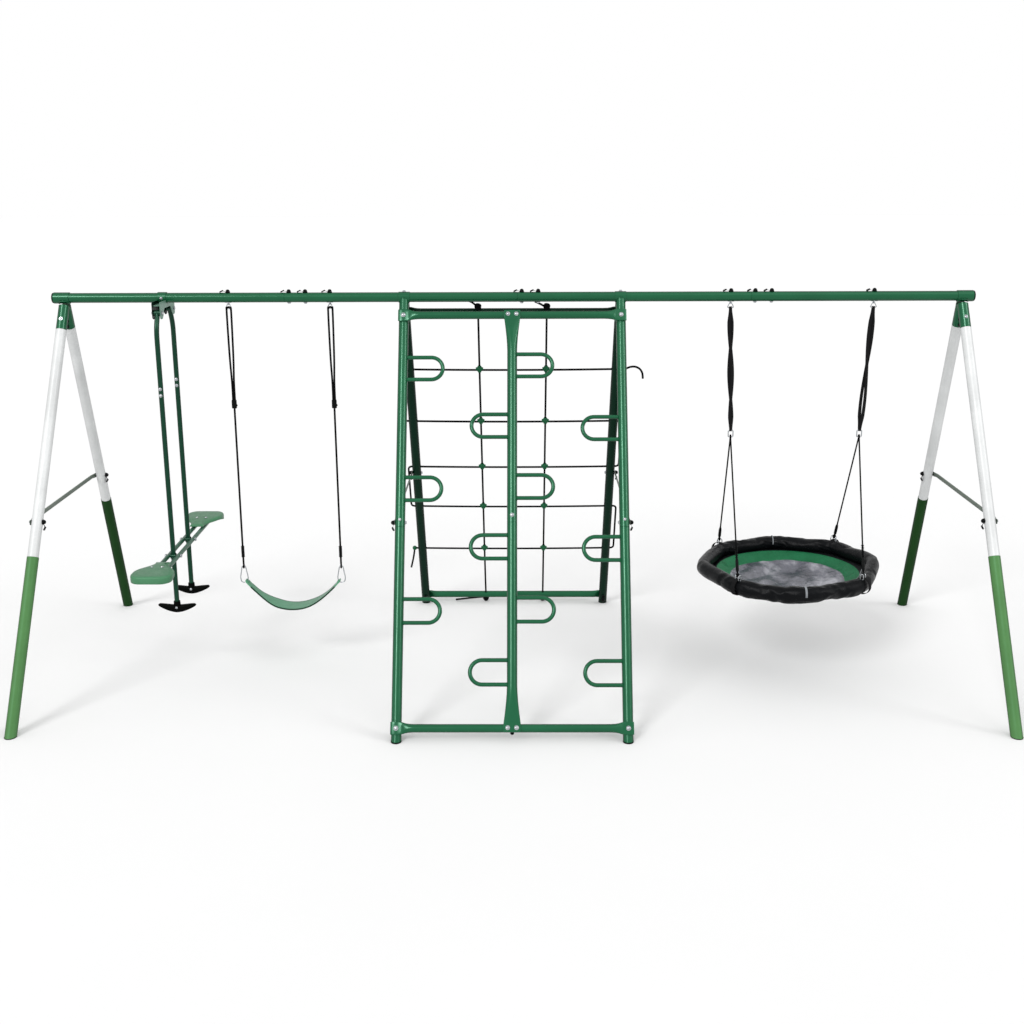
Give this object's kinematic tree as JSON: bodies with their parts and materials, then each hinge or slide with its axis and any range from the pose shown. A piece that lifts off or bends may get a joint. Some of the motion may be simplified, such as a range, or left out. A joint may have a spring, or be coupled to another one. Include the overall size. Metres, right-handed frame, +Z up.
{
  "type": "swing set",
  "caption": "Steel garden swing set: a top beam on two A-frames with a double climbing frame and net, a two-seat glider, a belt swing and a round saucer swing.",
  "frame": {"origin": "on the ground, under the middle of the beam and of the set's footprint", "axes": "+X along the beam, from the glider towards the saucer swing; -Y to the front, where the stepped climbing frame stands; +Z up"},
  "size_m": [4.8896, 2.0787, 2.03],
  "materials": {
    "green_steel": "glossy green powder coat",
    "light_green_steel": "glossy light green powder coat",
    "leg_green": "satin green powder coat",
    "white_steel": "satin white powder coat",
    "brace_steel": "satin grey-green paint",
    "zinc": "bright zinc plating",
    "seat_plastic": "satin light green moulded plastic",
    "black_plastic": "fine-grained black moulded plastic",
    "rope": "black braided rope",
    "webbing": "black flat-woven webbing",
    "rim_cover": "black coated cloth over foam",
    "mat_cloth": "grey coated cloth with a green border"
  },
  "bodies": {
    "frame": {"beam_section_1": "green_steel", "beam_section_2": "green_steel", "beam_section_3": "green_steel", "beam_section_4": "green_steel", "corner_bracket_left": "green_steel", "corner_bracket_right": "green_steel", "leg_upper_front_left": "white_steel", "leg_upper_rear_left": "white_steel", "leg_upper_front_right": "white_steel", "leg_upper_rear_right": "white_steel", "leg_lower_front_left": "leg_green", "leg_lower_rear_left": "leg_green", "leg_lower_front_right": "leg_green", "leg_lower_rear_right": "leg_green", "leg_brace_left": "brace_steel", "leg_brace_right": "brace_steel", "climber_tee_left": "green_steel", "climber_tee_right": "green_steel", "climber_upright_left_upper": "green_steel", "climber_upright_left_lower": "green_steel", "climber_upright_center_upper": "green_steel", "climber_upright_center_lower": "green_steel", "climber_upright_right_upper": "green_steel", "climber_upright_right_lower": "green_steel", "climber_rear_upright_left": "green_steel", "climber_rear_upright_right": "green_steel", "climber_front_top_rail": "green_steel", "climber_front_bottom_rail": "green_steel", "climber_rear_top_rail": "green_steel", "climber_rear_bottom_rail": "green_steel", "climber_side_brace_left": "brace_steel", "climber_side_brace_right": "brace_steel", "climbing_net": "rope", "glider_bracket": "green_steel", "glider_top_pivot_bolt_front": "zinc", "glider_top_pivot_bolt_rear": "zinc"},
    "glider_front_hanger": {"glider_upper_hanger_front": "green_steel", "glider_lower_hanger_front": "green_steel", "glider_footrest_front": "black_plastic"},
    "glider_rear_hanger": {"glider_upper_hanger_rear": "green_steel", "glider_lower_hanger_rear": "green_steel", "glider_footrest_rear": "black_plastic"},
    "glider_seat_frame": {"glider_rail_left": "light_green_steel", "glider_rail_right": "light_green_steel", "glider_seat_front": "seat_plastic", "glider_seat_rear": "seat_plastic", "glider_rail_pivot_bolt_front": "zinc", "glider_rail_pivot_bolt_rear": "zinc"},
    "belt_ropes": {"belt_rope_left": "rope", "belt_rope_right": "rope"},
    "belt_seat_and_rings": {"belt_ring_left": "zinc", "belt_ring_right": "zinc", "belt_seat": "seat_plastic"},
    "saucer_straps": {"saucer_strap_left": "webbing", "saucer_strap_right": "webbing"},
    "saucer": {"saucer_rope_left": "rope", "saucer_rope_right": "rope", "saucer_rim": "rim_cover", "saucer_mat": "mat_cloth"}
  },
  "joints": [
    {"name": "glider_swing", "type": "hinge", "parent": "frame", "child": "glider_front_hanger", "pos_m": [-1.792, -0.115, 1.935], "axis": [1, 0, 0], "range_deg": [-20, 20]},
    {"name": "glider_rear_swing", "type": "hinge", "parent": "frame", "child": "glider_rear_hanger", "pos_m": [-1.792, 0.115, 1.935], "axis": [1, 0, 0], "range_deg": [-22, 22]},
    {"name": "glider_seat_pivot", "type": "hinge", "parent": "glider_front_hanger", "child": "glider_seat_frame", "pos_m": [-1.792, -0.155, 0.664], "axis": [1, 0, 0], "range_deg": [-20, 20]},
    {"name": "belt_swing", "type": "hinge", "parent": "frame", "child": "belt_ropes", "pos_m": [-1.195, 0, 1.971], "axis": [1, 0, 0], "range_deg": [-50, 50]},
    {"name": "belt_tilt", "type": "hinge", "parent": "belt_ropes", "child": "belt_seat_and_rings", "pos_m": [-1.195, 0, 0.558], "axis": [1, 0, 0], "range_deg": [-25, 25]},
    {"name": "saucer_swing", "type": "hinge", "parent": "frame", "child": "saucer_straps", "pos_m": [1.482, 0, 1.971], "axis": [1, 0, 0], "range_deg": [-40, 40]},
    {"name": "saucer_tilt", "type": "hinge", "parent": "saucer_straps", "child": "saucer", "pos_m": [1.482, 0, 1.268], "axis": [1, 0, 0], "range_deg": [-12, 12]}
  ],
  "couplings": [
    {"joint": "glider_rear_swing", "follows": "glider_swing", "ratio": 1},
    {"joint": "glider_seat_pivot", "follows": "glider_swing", "ratio": -0.74}
  ]
}
